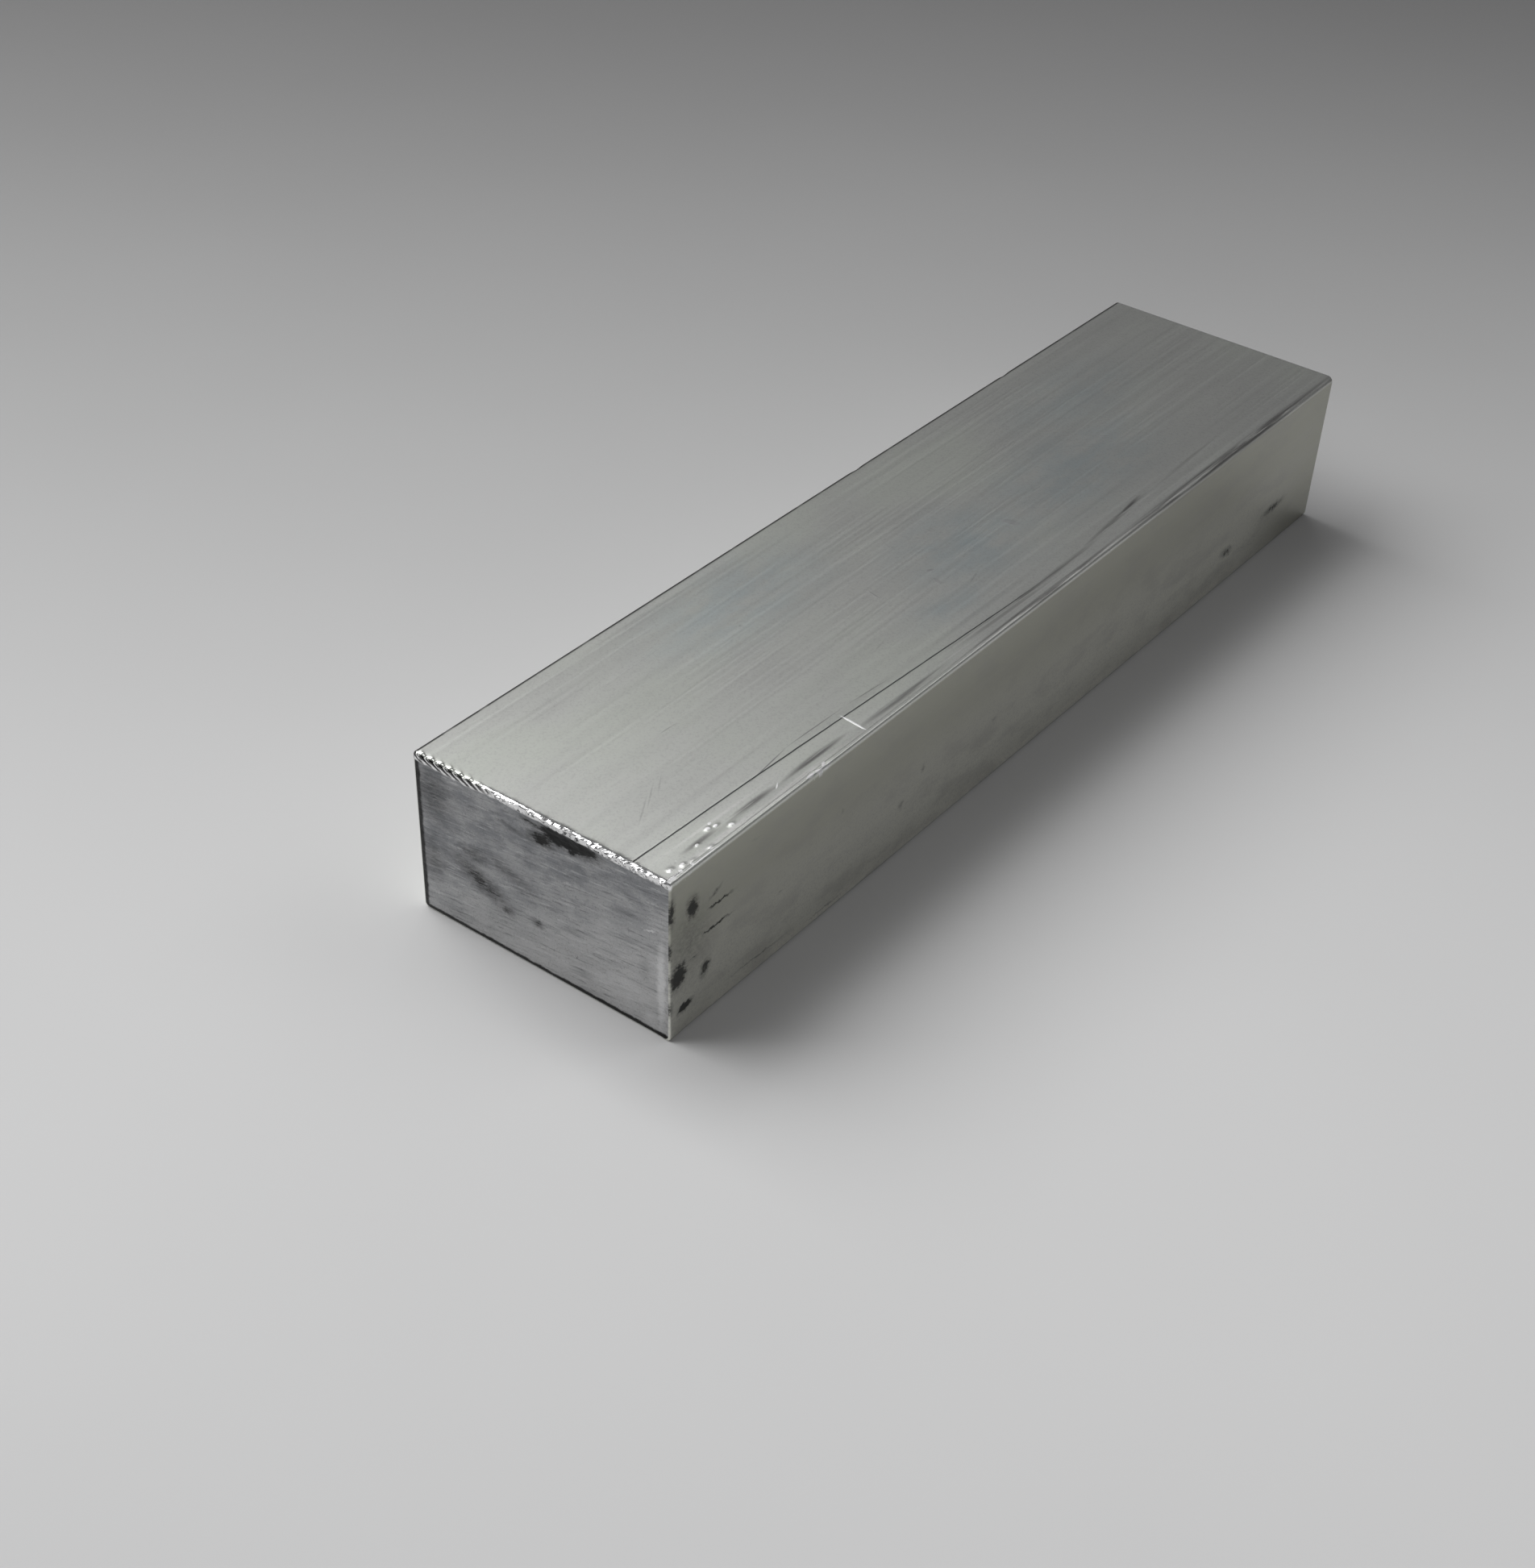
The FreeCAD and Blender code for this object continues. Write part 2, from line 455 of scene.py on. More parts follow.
def add_body(mesh, near_border, far_border):
    span = SECOND_X - FIRST_X
    every = np.arange(LOOP_COUNT)
    keep = kept_in_the_middle()
    kept = np.flatnonzero(keep)
    burr_zone = (LOOP_FACE == TOP) & (np.abs(LOOP_Y) < HALF - 0.3)

    def station(distance, indices):
        first = mesh.add_points(body_points(distance / span, distance, indices))
        return list(range(first, first + len(indices)))

    last = near_border
    for distance in NEAR_STATIONS:
        loop = station(distance, every)
        mesh.strip(last, loop, burr_zone & (distance < BURR_REACH))
        last = loop
    middle = levels(1.6, (9.1, 0.25), (SCRIBE_END, 0.45), (span - 1.2, 0.65), (span - 0.5, 0.35))
    coarse = station(middle[0], kept)
    mesh.zipper(last, coarse, keep, False)
    smooth_all = np.zeros(LOOP_COUNT, bool)
    for distance in middle[1:]:
        loop = station(distance, kept)
        mesh.strip(coarse, loop, smooth_all)
        coarse = loop
    fine = station(span - FAR_FINE_START, every)
    mesh.zipper(fine, coarse, keep, True)
    for distance in FAR_STATIONS:
        loop = station(span - distance, every)
        mesh.strip(fine, loop, smooth_all)
        fine = loop
    mesh.strip(fine, far_border, smooth_all)


# Gaps on the bar's map between its strips, and between the two ends.
MAP_GAP = 1.5
END_MAP_GAP = 2.0


def map_places(points):
    """The points' places, and where each face's strip starts on the bar's square map."""
    gap = MAP_GAP
    scale = 1.0 / (LENGTH + 2 * gap)
    x = points[:, 0] + LENGTH / 2 + gap
    y = points[:, 1] + HALF
    z = points[:, 2]
    starts = {
        TOP: gap,
        RUBBED_SIDE: gap * 2 + WIDTH,
        CLEAN_SIDE: gap * 3 + WIDTH + THICKNESS,
        BOTTOM: gap * 4 + WIDTH + 2 * THICKNESS,
    }
    ends = gap * 5 + 2 * WIDTH + 2 * THICKNESS
    return x, y, z, starts, ends, scale


def gathered(items, name, width, kind):
    """One property of every item in a mesh, as an array with width numbers a row."""
    found = np.empty(len(items) * width, kind)
    items.foreach_get(name, found)
    return found.reshape(-1, width) if width > 1 else found


def bar_uvs(mesh_data):
    """A flat map with no overlaps: four strips for the long faces, then the two ends."""
    layer = mesh_data.uv_layers.new(name="OFBake")
    vertex = gathered(mesh_data.loops, "vertex_index", 1, np.int64)
    co = gathered(mesh_data.vertices, "co", 3, float) / MM
    totals = gathered(mesh_data.polygons, "loop_total", 1, np.int64)
    slots = gathered(mesh_data.polygons, "material_index", 1, np.int64)
    centres = gathered(mesh_data.polygons, "center", 3, float) / MM
    polygon = np.repeat(np.arange(len(totals)), totals)

    # A face goes to the side that its centre is nearest to, seen from the bar's core.
    lift = centres[:, 2] - THICKNESS / 2
    out = np.abs(centres[:, 1]) - (HALF - THICKNESS / 2)
    side = np.where(out > np.abs(lift), np.where(centres[:, 1] < 0, RUBBED_SIDE, CLEAN_SIDE),
                    np.where(lift > 0, TOP, BOTTOM))
    x, y, z, starts, ends, scale = map_places(co[vertex])
    face = side[polygon]
    slot = slots[polygon]
    is_near = (centres[:, 0] < 0)[polygon]
    v = np.select(
        [face == TOP, face == RUBBED_SIDE, face == CLEAN_SIDE, face == BOTTOM],
        [starts[TOP] + y, starts[RUBBED_SIDE] + z, starts[CLEAN_SIDE] + z, starts[BOTTOM] + y],
    )
    sawn = slot == SAWN_FACES
    u = np.where(sawn, MAP_GAP + y + np.where(is_near, 0, WIDTH + END_MAP_GAP), x)
    v = np.where(sawn, ends + z, v)
    uv = np.stack([u * scale, v * scale], 1).astype(np.float32)
    layer.uv.foreach_set("vector", uv.ravel())


def make_bar(materials):
    mesh = BarMesh()
    near_border = add_cap(mesh, True)
    far_border = add_cap(mesh, False)
    add_body(mesh, near_border, far_border)
    data = bpy.data.meshes.new("bar_surface")
    points = np.concatenate(mesh.points) * MM
    data.from_pydata(points.tolist(), [], mesh.faces)
    for material in materials:
        data.materials.append(material)
    data.polygons.foreach_set("material_index", np.array(mesh.slots, np.int32))
    data.polygons.foreach_set("use_smooth", ~np.array(mesh.flat, bool))
    data.update()
    bar_uvs(data)
    bar = bpy.data.objects.new("bar_surface", data)
    bpy.context.collection.objects.link(bar)
    return bar


# --- materials ------------------------------------------------------------------------------
class Graph:
    """A material's node graph, with short calls for the nodes used here."""

    def __init__(self, name):
        self.material = bpy.data.materials.new(name)
        self.material.use_nodes = True
        self.tree = self.material.node_tree
        self.tree.nodes.clear()

    def node(self, kind, **values):
        made = self.tree.nodes.new(kind)
        for name, value in values.items():
            setattr(made, name, value)
        return made

    def put(self, socket, value):
        if isinstance(value, bpy.types.NodeSocket):
            self.tree.links.new(value, socket)
        else:
            socket.default_value = value

    def math(self, operation, *values, clamp=False):
        made = self.node("ShaderNodeMath", operation=operation, use_clamp=clamp)
        for socket, value in zip(made.inputs, values):
            self.put(socket, value)
        return made.outputs[0]

    def add(self, a, b):
        return self.math("ADD", a, b)

    def sub(self, a, b):
        return self.math("SUBTRACT", a, b)

    def mul(self, a, b):
        return self.math("MULTIPLY", a, b)

    def most(self, *values):
        found = values[0]
        for value in values[1:]:
            found = self.math("MAXIMUM", found, value)
        return found

    def ramp(self, value, low, high, out_low=0.0, out_high=1.0):
        """Smooth step of value from low to high."""
        made = self.node("ShaderNodeMapRange", interpolation_type="SMOOTHSTEP")
        for socket, v in zip(made.inputs, (value, low, high, out_low, out_high)):
            self.put(socket, v)
        return made.outputs[0]

    def noise(self, vector, scale, detail=3.0, roughness=0.5, stretch=(1, 1, 1), offset=(0, 0, 0)):
        placed = self.node("ShaderNodeMapping", vector_type="POINT")
        self.put(placed.inputs["Vector"], vector)
        placed.inputs["Location"].default_value = offset
        placed.inputs["Scale"].default_value = stretch
        made = self.node("ShaderNodeTexNoise", noise_dimensions="3D")
        self.put(made.inputs["Vector"], placed.outputs[0])
        made.inputs["Scale"].default_value = scale
        made.inputs["Detail"].default_value = detail
        made.inputs["Roughness"].default_value = roughness
        return made.outputs["Fac"]

    def mark(self, plane, place, size, angle=0.0, hard=0.5):
        """An oval mark, 1 in its middle and 0 at its rim."""
        placed = self.node("ShaderNodeMapping", vector_type="TEXTURE")
        self.put(placed.inputs["Vector"], plane)
        placed.inputs["Location"].default_value = (place[0], place[1], 0)
        placed.inputs["Rotation"].default_value = (0, 0, math.radians(angle))
        placed.inputs["Scale"].default_value = (size[0], size[1], 1)
        length = self.node("ShaderNodeVectorMath", operation="LENGTH")
        self.put(length.inputs[0], placed.outputs[0])
        return self.ramp(length.outputs["Value"], 1.0, hard, 0.0, 1.0)

    def mixed(self, share, a, b):
        made = self.node("ShaderNodeMix", data_type="RGBA")
        self.put(made.inputs[0], share)
        self.put(made.inputs[6], a)
        self.put(made.inputs[7], b)
        return made.outputs[2]

    def plane(self, along, across):
        made = self.node("ShaderNodeCombineXYZ")
        self.put(made.inputs[0], along)
        self.put(made.inputs[1], across)
        return made.outputs[0]

    def stirred(self, plane, scale, amount):
        """The plane pushed about by noise, so that marks laid on it are ragged."""
        noise = self.node("ShaderNodeTexNoise", noise_dimensions="2D")
        self.put(noise.inputs["Vector"], plane)
        noise.inputs["Scale"].default_value = scale
        noise.inputs["Detail"].default_value = 4.0
        noise.inputs["Roughness"].default_value = 0.65
        pushed = self.node("ShaderNodeVectorMath", operation="MULTIPLY_ADD")
        self.put(pushed.inputs[0], noise.outputs["Color"])
        pushed.inputs[1].default_value = (2 * amount, 2 * amount, 0)
        pushed.inputs[2].default_value = (-amount, -amount, 0)
        made = self.node("ShaderNodeVectorMath", operation="ADD")
        self.put(made.inputs[0], plane)
        self.put(made.inputs[1], pushed.outputs[0])
        return made.outputs[0]


def grey(value, warmth=0.0):
    return (value * (1 + warmth), value, value * (1 - 1.6 * warmth), 1.0)


def surface_places(graph):
    """Object position in millimetres, and its separate x, y and z."""
    coordinates = graph.node("ShaderNodeTexCoord")
    scaled = graph.node("ShaderNodeVectorMath", operation="SCALE")
    graph.put(scaled.inputs[0], coordinates.outputs["Object"])
    scaled.inputs["Scale"].default_value = 1 / MM
    parts = graph.node("ShaderNodeSeparateXYZ")
    graph.put(parts.inputs[0], scaled.outputs[0])
    return scaled.outputs[0], parts.outputs[0], parts.outputs[1], parts.outputs[2]


def finish_material(graph, colour, metallic, roughness, height, bump_distance_mm):
    """Ends the graph with its shader, and gives the material."""
    shader = graph.node("ShaderNodeBsdfPrincipled")
    graph.put(shader.inputs["Metallic"], metallic)
    graph.put(shader.inputs["Base Color"], colour)
    graph.put(shader.inputs["Roughness"], roughness)
    bump = graph.node("ShaderNodeBump")
    bump.inputs["Strength"].default_value = 1.0
    bump.inputs["Distance"].default_value = bump_distance_mm * MM
    graph.put(bump.inputs["Height"], height)
    graph.put(shader.inputs["Normal"], bump.outputs[0])
    output = graph.node("ShaderNodeOutputMaterial")
    graph.put(output.inputs["Surface"], shader.outputs[0])
    return graph.material


# Metal colours: clean and a little warm, greenish where it's dull, bluish in the haze.
METAL_WARM = (0.712, 0.722, 0.690, 1.0)
METAL_GREEN = (0.655, 0.680, 0.625, 1.0)
METAL_BLUE = (0.585, 0.648, 0.655, 1.0)
# The rubbed side is the same metal. Its top is painted darker as painted shade, and it is painted
# lighter towards its bottom as painted light.
METAL_SIDE_PAINTED_SHADE = (0.452, 0.454, 0.394, 1.0)
METAL_SIDE_PAINTED_LIGHT = (0.870, 0.870, 0.800, 1.0)
BLUE_PATCHES = (
    ((33.0, 6.0), (17.0, 7.5), 0, 0.85),
    ((54.0, 15.5), (13.0, 8.5), 8, 1.00),
    ((72.0, 15.5), (20.0, 9.0), -3, 0.90),
    ((45.0, 20.0), (9.0, 3.5), 4, 0.80),
    ((84.0, 8.0), (17.0, 7.0), 0, 0.65),
)

# Marks on the top: place (along, across), half length and half width, angle, strength.
TOP_DARK_MARKS = (
    ((5.6, 18.3), (2.2, 0.10), -30, 0.30),
    ((7.3, 17.6), (2.0, 0.09), -32, 0.28),
    ((8.9, 17.2), (1.6, 0.08), -34, 0.22),
    ((14.8, 13.1), (1.2, 0.09), 2, 0.45),
    ((30.1, 8.4), (0.22, 0.17), 30, 0.85),
    ((35.5, 18.9), (1.6, 0.12), -12, 0.20),
    ((49.6, 18.9), (1.4, 0.14), -15, 0.30),
    ((66.0, 14.8), (0.9, 0.12), 5, 0.25),
    ((52.0, 6.5), (3.5, 0.12), -4, 0.18),
)
TOP_LIGHT_MARKS = (
    ((47.8, 15.4), (0.55, 0.28), 30, 0.55),
    ((46.8, 16.9), (0.28, 0.75), 25, 0.35),
    ((41.4, 14.0), (0.12, 0.95), 12, 0.45),
    ((59.4, 16.3), (0.55, 1.2), -14, 0.45),
    ((78.8, 14.3), (0.16, 0.75), -40, 0.60),
    ((90.2, 16.2), (0.22, 0.9), 10, 0.30),
    ((53.2, 11.5), (0.14, 0.9), -8, 0.35),
    ((1.0, 25.0), (1.0, 0.14), 4, 0.85),
    ((4.2, 25.2), (3.0, 0.08), 0, 0.70),
    ((19.0, 25.3), (1.4, 0.12), 0, 0.90),
)
# Cuts and specks near the rubbed edge, painted near-white and less metallic as painted glints.
CUTS_WITH_PAINTED_GLINTS = (
    ((25.1, 23.7), (0.13, 1.65), 3, 1.00),
    ((7.0, 23.4), (0.30, 0.22), 20, 1.00),
    ((7.7, 23.6), (0.20, 0.19), 0, 1.00),
    ((7.6, 23.1), (0.20, 0.16), 0, 0.90),
    ((8.6, 24.4), (0.30, 0.21), 40, 1.00),
    ((5.0, 24.0), (0.20, 0.14), 0, 0.90),
    ((5.4, 25.0), (0.20, 0.14), 0, 0.90),
    ((1.3, 24.4), (0.24, 0.18), 20, 1.00),
    ((2.5, 24.6), (0.30, 0.16), 0, 1.00),
    ((1.9, 25.0), (0.20, 0.19), 0, 1.00),
    ((3.1, 25.1), (0.20, 0.13), 0, 0.90),
    ((0.7, 25.1), (0.60, 0.19), 0, 1.00),
    ((17.4, 25.2), (0.60, 0.13), 0, 1.00),
    ((18.4, 25.3), (0.45, 0.16), 20, 1.00),
    ((19.2, 25.1), (0.33, 0.14), -20, 1.00),
    ((14.6, 24.1), (0.52, 0.08), -30, 0.80),
)
# Dark marks in the rubbed band: a brownish dashed stain and marks along the furrows, plus painted
# shade along the rounding of the rubbed edge's far half (the long marks at across 25.1).
BAND_STAINS_AND_EDGE_PAINTED_SHADE = (
    ((5.6, 23.85), (2.8, 0.34), 0.5, 0.95),
    ((11.6, 23.95), (3.9, 0.40), 0.5, 1.05),
    ((19.5, 24.05), (5.2, 0.42), 0.3, 1.10),
    ((31.0, 24.55), (8.5, 0.40), 1.2, 0.95),
    ((46.0, 24.1), (10.0, 0.28), 1.5, 0.50),
    ((57.0, 23.8), (7.5, 0.38), -1, 0.62),
    ((66.0, 23.2), (8.0, 0.36), -3.4, 0.95),
    ((47.0, 23.75), (11.0, 0.16), 1.5, 0.95),
    ((80.0, 22.7), (9.0, 0.26), -2, 0.35),
    ((84.0, 25.1), (30.0, 0.50), 0, 1.30),
    ((52.0, 25.1), (16.0, 0.34), 0, 1.10),
    ((69.0, 22.9), (3.4, 0.26), -6, 1.20),
)
BAND_LIGHT_MARKS = (
    ((12.0, 24.85), (15.5, 0.42), 0.5, 1.00),
    ((8.0, 23.1), (9.0, 0.22), 1.5, 0.60),
    ((38.0, 24.3), (9.0, 0.12), 2, 0.55),
    ((52.0, 24.45), (10.0, 0.14), 1, 0.55),
    ((66.0, 24.0), (9.0, 0.24), -2, 0.55),
)
# Patches where the painted glint specks are scattered.
PAINTED_GLINT_SPECK_PATCHES = (
    ((2.0, 24.8), (3.2, 1.0), 0, 1.0),
    ((18.4, 25.3), (1.8, 0.5), 0, 1.0),
)
SCRATCH_LINES = (
    ((16.2, 22.0), (3.4, 0.085), -6.5, 0.95),
    ((22.5, 21.75), (4.6, 0.075), 1.5, 0.85),
    ((29.5, 22.1), (3.6, 0.07), 5, 0.60),
    ((58.0, 8.0), (9.0, 0.07), 1, 0.12),
    ((20.0, 5.5), (7.0, 0.06), -1, 0.12),
)
SIDE_DARK_MARKS = (
    ((0.4, 3.2), (0.75, 2.8), 0, 1.05),
    ((0.3, 6.8), (0.65, 2.0), 0, 0.90),
    ((2.9, 4.0), (1.4, 2.2), -8, 1.15),
    ((1.4, 9.8), (2.0, 2.7), 12, 1.25),
    ((0.4, 12.6), (0.70, 1.7), 0, 0.95),
    ((4.6, 11.0), (1.1, 1.8), 20, 1.00),
    ((2.3, 13.4), (1.5, 0.75), -12, 1.75),
    ((2.6, 7.4), (5.4, 7.4), 0, 0.55),
    ((5.6, 4.2), (1.6, 0.35), -25, 0.75),
    ((6.2, 5.4), (2.8, 0.26), 1, 1.25),
    ((5.8, 7.5), (3.2, 0.26), 0, 1.25),
    ((3.2, 9.0), (2.6, 0.18), -2, 0.75),
    ((11.5, 14.4), (6.0, 0.18), 2, 0.65),
    ((20.5, 15.1), (4.5, 0.16), 1, 0.55),
    ((14.0, 9.5), (0.5, 0.3), 20, 0.45),
    ((22.0, 6.2), (0.5, 0.35), 0, 0.40),
    ((44.5, 9.4), (0.8, 0.4), 10, 0.40),
    ((30.6, 10.6), (0.8, 0.8), 0, 0.60),
    ((33.5, 8.5), (0.5, 0.6), 15, 0.75),
    ((86.6, 12.0), (2.2, 1.0), 12, 0.85),
    ((96.0, 11.1), (3.8, 0.8), -2, 0.90),
    ((10.5, 2.0), (1.5, 0.15), 5, 0.28),
)
# Dark marks on the near sawn face: smears under the burr and a diagonal smudge, plus painted dark
# reflection over the clean-side part of the face (the soft marks at (1.8, 3.4), (1.4, 10.0), (5.9,
# 7.4) and (9.8, 7.4)).
END_SMEARS_AND_PAINTED_REFLECTION = (
    ((15.3, 1.3), (4.8, 1.4), 3, 1.60),
    ((13.0, 2.2), (2.6, 1.3), -10, 1.15),
    ((16.5, 1.1), (3.8, 0.9), 0, 1.80),
    ((12.0, 1.1), (2.2, 0.6), 0, 0.95),
    ((6.6, 9.8), (5.6, 1.8), 24, 0.86),
    ((1.8, 3.4), (3.8, 4.8), 0, 0.66),
    ((1.4, 10.0), (2.4, 4.4), 0, 0.52),
    ((10.0, 2.6), (3.4, 0.5), 8, 0.55),
    ((9.8, 7.4), (5.0, 1.4), 20, 0.52),
    ((5.9, 7.4), (2.8, 1.4), 0, 0.62),
    ((9.2, 11.3), (1.5, 0.9), 20, 0.85),
    ((12.4, 11.0), (1.3, 0.8), 15, 0.75),
    ((16.3, 12.4), (0.30, 0.16), -35, 0.90),
    ((20.5, 5.0), (2.6, 1.6), 10, 0.16),
    ((23.0, 9.5), (0.9, 3.4), 0, 0.28),
)
# Light marks on the near sawn face: a scratch, light patches low down, and a painted highlight
# down the rubbed-side edge (the tall mark at (24.55, 10.8)).
END_SCRATCH_AND_PAINTED_HIGHLIGHTS = (
    ((23.5, 5.6), (0.9, 0.12), -14, 0.9),
    ((24.55, 10.8), (0.60, 6.0), 0, 0.80),
    ((20.5, 13.0), (4.5, 1.6), -8, 0.40),
    ((12.5, 14.2), (6.5, 1.2), -4, 0.30),
    ((23.6, 14.5), (1.3, 0.9), -30, 0.35),
)


def strongest(graph, plane, marks, hard):
    """The strongest of several marks at each place."""
    found = None
    for place, size, angle, strength in marks:
        one = graph.mul(graph.mark(plane, place, size, angle, hard), strength)
        found = one if found is None else graph.math("MAXIMUM", found, one)
    return found


def all_marks(graph, plane, marks, broken, hard=0.35):
    """The strongest of several marks at each place, broken up by noise."""
    return graph.mul(strongest(graph, plane, marks, hard), broken)


def smudges(graph, plane, marks, ragged, halo):
    """Marks with ragged dark cores, which the weaker ones lose, in a soft grey halo."""
    field = strongest(graph, plane, marks, 0.0)
    torn = graph.add(field, graph.mul(graph.sub(ragged, 0.5), 1.5))
    core = graph.mul(graph.ramp(torn, 0.38, 1.0), graph.ramp(field, 0.02, 0.35))
    rim = graph.mul(graph.ramp(field, 0.0, 0.8), graph.ramp(ragged, 0.30, 0.62, 0.35, 1.0))
    return graph.most(core, graph.mul(rim, halo))


def mill_finish():
    """The extruded long faces: satin, with draw lines, haze, scratches and handling marks, painted
    light and shade on the rubbed side, painted shade along the edges and painted glints on the cut
    and speck marks.
    """
    g = Graph("mill_finish")
    place, x, y, z = surface_places(g)
    along = g.sub(x, NEAR_TOP_X)
    across = g.sub(HALF, y)
    down = g.sub(THICKNESS, z)
    on_top = g.ramp(z, THICKNESS - 0.9, THICKNESS - 0.5)
    on_rubbed = g.ramp(y, -HALF + 0.5, -HALF + 0.2)
    on_rubbed = g.mul(on_rubbed, g.ramp(z, THICKNESS - 0.3, THICKNESS - 0.7))
    top_plane = g.plane(along, across)
    side_plane = g.stirred(g.plane(along, down), 1.6, 0.35)

    # noise fields, stretched along the bar where the die drew them
    draw_fine = g.noise(place, 1.0, 3, 0.6, (0.045, 4.5, 4.5))
    draw_broad = g.noise(place, 1.0, 2, 0.5, (0.02, 0.9, 0.9), (7, 3, 1))
    haze = g.noise(place, 0.07, 3, 0.5, (0.8, 1.2, 1.2), (3, 8, 2))
    cloud = g.noise(place, 0.35, 4, 0.6, (0.6, 1.3, 1.3), (11, 4, 9))
    speckle = g.noise(place, 4.5, 3, 0.7)
    ragged = g.noise(place, 2.6, 5, 0.8, (0.7, 1, 1), (5, 5, 5))

    # handling marks and scratches
    broken = g.ramp(ragged, 0.28, 0.58)
    dark_top = g.mul(all_marks(g, top_plane, TOP_DARK_MARKS, broken), on_top)
    dark_side = g.mul(smudges(g, side_plane, SIDE_DARK_MARKS, ragged, 0.60), on_rubbed)
    light = g.mul(all_marks(g, top_plane, TOP_LIGHT_MARKS, g.ramp(ragged, 0.15, 0.4)), on_top)
    lines = g.mul(all_marks(g, top_plane, SCRATCH_LINES, 1.0, 0.2), on_top)

    # the rubbed band, its specks and cuts with painted glints, and the bright edge of the sawn end
    streaked = g.ramp(g.noise(place, 1.0, 3, 0.6, (0.12, 3.0, 3.0), (1, 9, 4)), 0.30, 0.58)
    band_stains_and_painted_shade = g.mul(all_marks(g, top_plane, BAND_STAINS_AND_EDGE_PAINTED_SHADE, streaked, 0.2), on_top)
    band_light = g.mul(all_marks(g, top_plane, BAND_LIGHT_MARKS, streaked, 0.2), on_top)
    # Painted glints: specks and cuts are painted near-white and made less metallic.
    painted_glint_specks = g.ramp(g.noise(place, 2.6, 2, 0.6, (1, 1, 1), (4, 4, 4)), 0.66, 0.71)
    painted_glint_specks = g.mul(painted_glint_specks, g.mul(all_marks(g, top_plane, PAINTED_GLINT_SPECK_PATCHES, 1.0, 0.7), on_top))
    painted_glint_cuts = g.mul(all_marks(g, top_plane, CUTS_WITH_PAINTED_GLINTS, 1.0, 0.6), on_top)
    metallic = g.sub(1.0, g.mul(g.most(painted_glint_cuts, painted_glint_specks), 0.8))
    light = g.most(light, painted_glint_specks, painted_glint_cuts)
    from_end = g.sub(along, g.mul(y, slope(FIRST_YAW)))
    end_edge = g.mul(g.mul(g.ramp(from_end, 0.34, 0.16), g.ramp(across, 6.0, 9.0)), on_top)
    light = g.most(light, end_edge)

    # the scribed line follows its path
    offset = g.sub(across, scribe_curve(g, along))
    wobble = g.mul(g.sub(g.noise(place, 0.8, 2), 0.5), 0.06)
    scribed = g.ramp(g.math("ABSOLUTE", g.add(offset, wobble)), 0.085, 0.040)
    scribed = g.mul(g.mul(scribed, on_top), g.ramp(along, SCRIBE_END, 44.0))

    # painted shade: a dark line over the die's rounding along the clean edge
    clean_edge_painted_shade = g.mul(g.ramp(across, 0.50, 0.32), on_top)
    clean_edge_painted_shade = g.mul(clean_edge_painted_shade, g.ramp(g.noise(place, 0.5, 3), 0.25, 0.5, 0.6, 1.0))

    # colour, from the clean metal up to the marks on it
    colour = g.mixed(g.ramp(haze, 0.40, 0.62, 0.0, 0.7), METAL_WARM, METAL_GREEN)
    blue = g.mul(all_marks(g, top_plane, BLUE_PATCHES, g.ramp(cloud, 0.22, 0.70), 0.0), on_top)
    colour = g.mixed(blue, colour, METAL_BLUE)
    # Painted light on the rubbed side: lighter towards the bottom, fading out over the last 18 mm
    # before the far end. Painted shade keeps its top darker.
    low = g.mul(g.ramp(down, 3.5, 13.5), g.ramp(along, LENGTH, LENGTH - 18.0))
    side_painted_light_and_shade = g.mixed(low, METAL_SIDE_PAINTED_SHADE, METAL_SIDE_PAINTED_LIGHT)
    side_painted_light_and_shade = g.mixed(g.ramp(cloud, 0.45, 0.68, 0.0, 0.24), side_painted_light_and_shade, grey(0.36, 0.02))
    colour = g.mixed(on_rubbed, colour, side_painted_light_and_shade)
    colour = g.mixed(g.ramp(draw_broad, 0.45, 0.7, 0.0, 0.10), colour, grey(0.54, 0.01))
    # Stains in the band, and painted shade along the far rubbed edge.
    colour = g.mixed(g.mul(band_stains_and_painted_shade, 0.9), colour, grey(0.24, 0.015))
    colour = g.mixed(g.mul(band_light, 0.8), colour, grey(0.86, 0.01))
    colour = g.mixed(g.ramp(speckle, 0.45, 0.72, 0.0, 0.30), colour, grey(0.42, 0.01))
    # Painted shade along the clean edge.
    colour = g.mixed(clean_edge_painted_shade, colour, grey(0.09, 0.02))
    colour = g.mixed(g.mul(lines, 0.8), colour, grey(0.22))
    colour = g.mixed(scribed, colour, grey(0.09))
    colour = g.mixed(g.mul(dark_top, 0.85), colour, grey(0.16))
    colour = g.mixed(g.mul(dark_side, 0.95), colour, grey(0.05))
    # Pale scratches, the painted glints of the cut and speck marks, and the bright edge of the
    # sawn end.
    colour = g.mixed(light, colour, grey(0.93))

    roughness = g.ramp(haze, 0.35, 0.65, 0.360, 0.385)
    roughness = g.add(roughness, g.mul(g.sub(draw_fine, 0.5), 0.10))
    roughness = g.add(roughness, g.mul(dark_side, 0.2))
    roughness = g.math("MAXIMUM", g.sub(roughness, g.mul(light, 0.12)), 0.15)

    height = g.add(g.mul(draw_fine, 0.30), g.mul(draw_broad, 0.10))
    height = g.add(height, g.mul(speckle, 0.12))
    height = g.sub(height, g.mul(lines, 1.2))
    height = g.sub(height, g.mul(scribed, 1.5))
    height = g.add(height, g.mul(light, 0.9))
    return finish_material(g, colour, metallic, roughness, height, 0.010)


